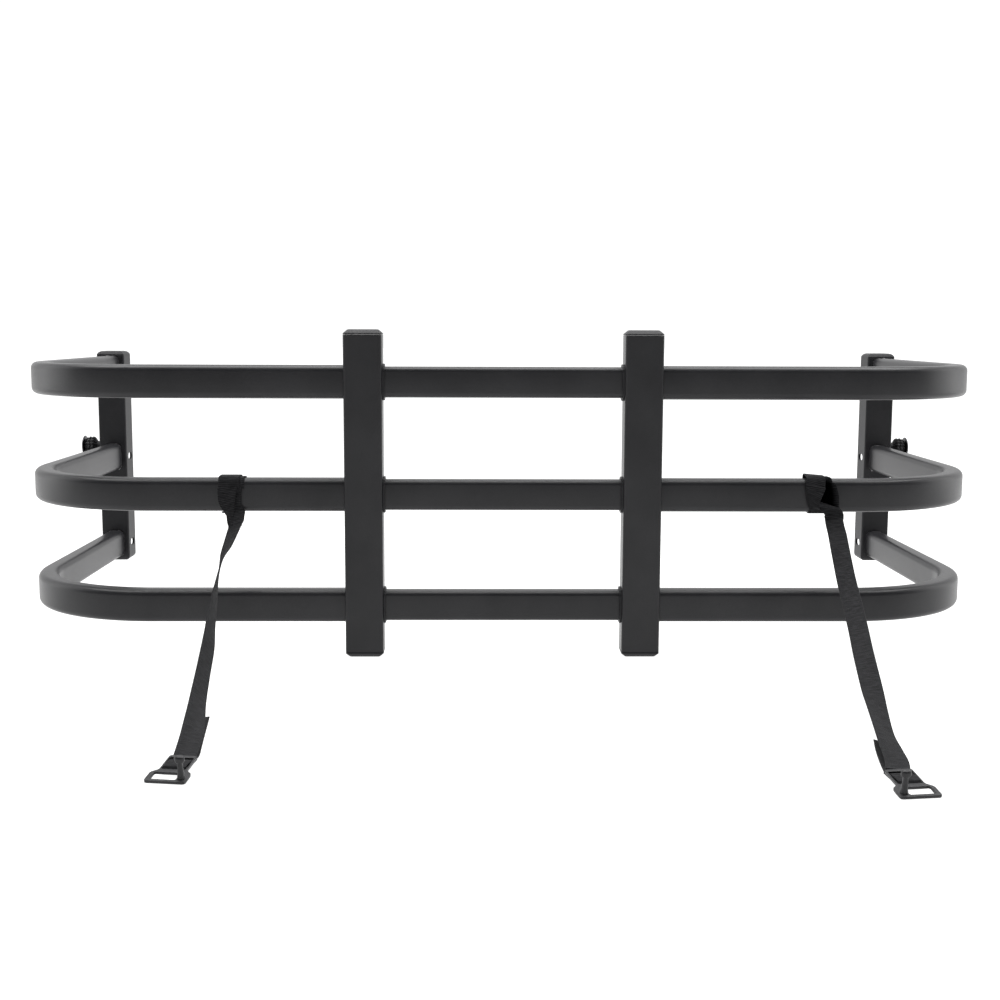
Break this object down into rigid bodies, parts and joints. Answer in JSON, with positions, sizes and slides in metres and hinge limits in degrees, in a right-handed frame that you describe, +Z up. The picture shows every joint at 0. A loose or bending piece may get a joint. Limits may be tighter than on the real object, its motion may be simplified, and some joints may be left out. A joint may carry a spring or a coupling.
{
  "type": "truck bed extender",
  "caption": "U-shaped truck bed extender: bent black tubes in front uprights and rear pivot posts, adjustable in width, with webbing straps and cast buckles.",
  "frame": {"origin": "on the ground, in the middle of the cage's footprint, straps and buckles left out", "axes": "+X to the right, +Y towards the truck's cab (the open end of the U), +Z up; the closed front of the U faces -Y"},
  "size_m": [1.486, 1.2107, 0.456],
  "materials": {
    "powder_coat": "satin black powder coat",
    "nylon": "fine moulded grain, black",
    "black_steel": "black oxide",
    "zinc_casting": "dark grey paint over a casting",
    "webbing": "plain woven black polyester"
  },
  "bodies": {
    "root": {"centre_tube_bottom": "powder_coat", "centre_tube_middle": "powder_coat", "centre_tube_top": "powder_coat"},
    "left_half": {"bent_tube_left_bottom": "powder_coat", "tube_collar_left_bottom": "nylon", "clamp_screw_left_bottom": "black_steel", "tube_plug_left_bottom": "nylon", "post_screw_left_bottom": "black_steel", "bent_tube_left_middle": "powder_coat", "tube_collar_left_middle": "nylon", "clamp_screw_left_middle": "black_steel", "tube_plug_left_middle": "nylon", "post_screw_left_middle": "black_steel", "bent_tube_left_top": "powder_coat", "tube_collar_left_top": "nylon", "clamp_screw_left_top": "black_steel", "tube_plug_left_top": "nylon", "post_screw_left_top": "black_steel", "upright_left": "powder_coat", "upright_cap_left_top": "nylon", "upright_cap_left_bottom": "nylon", "rear_post_left": "nylon", "pivot_stud_left": "black_steel", "pivot_nut_left": "black_steel", "strap_hitch_left": "webbing", "strap_left": "webbing", "strap_tail_left": "webbing"},
    "left_roller": {"pivot_roller_left": "nylon"},
    "left_buckle": {"buckle_left": "zinc_casting", "strap_end_left": "webbing"},
    "right_half": {"bent_tube_right_bottom": "powder_coat", "tube_collar_right_bottom": "nylon", "clamp_screw_right_bottom": "black_steel", "tube_plug_right_bottom": "nylon", "post_screw_right_bottom": "black_steel", "bent_tube_right_middle": "powder_coat", "tube_collar_right_middle": "nylon", "clamp_screw_right_middle": "black_steel", "tube_plug_right_middle": "nylon", "post_screw_right_middle": "black_steel", "bent_tube_right_top": "powder_coat", "tube_collar_right_top": "nylon", "clamp_screw_right_top": "black_steel", "tube_plug_right_top": "nylon", "post_screw_right_top": "black_steel", "upright_right": "powder_coat", "upright_cap_right_top": "nylon", "upright_cap_right_bottom": "nylon", "rear_post_right": "nylon", "pivot_stud_right": "black_steel", "pivot_nut_right": "black_steel", "strap_hitch_right": "webbing", "strap_right": "webbing", "strap_tail_right": "webbing"},
    "right_roller": {"pivot_roller_right": "nylon"},
    "right_buckle": {"buckle_right": "zinc_casting", "strap_end_right": "webbing"}
  },
  "joints": [
    {"name": "left_width", "type": "slide", "parent": "root", "child": "left_half", "axis": [-1, 0, 0], "range_m": [-0.06, 0.06]},
    {"name": "left_roller_spin", "type": "hinge", "parent": "left_half", "child": "left_roller", "pos_m": [-0.726, 0.29, 0.245], "axis": [-1, 0, 0], "continuous": true},
    {"name": "left_buckle_swing", "type": "hinge", "parent": "left_half", "child": "left_buckle", "pos_m": [-0.34376, -0.79412, 0.01096], "axis": [-0.9885, 0.1513, 0], "range_deg": [-20, 100]},
    {"name": "right_width", "type": "slide", "parent": "root", "child": "right_half", "axis": [1, 0, 0], "range_m": [-0.06, 0.06]},
    {"name": "right_roller_spin", "type": "hinge", "parent": "right_half", "child": "right_roller", "pos_m": [0.726, 0.29, 0.245], "axis": [1, 0, 0], "continuous": true},
    {"name": "right_buckle_swing", "type": "hinge", "parent": "right_half", "child": "right_buckle", "pos_m": [0.39457, -0.84294, 0.01096], "axis": [-0.9919, -0.1271, 0], "range_deg": [-20, 100]}
  ]
}
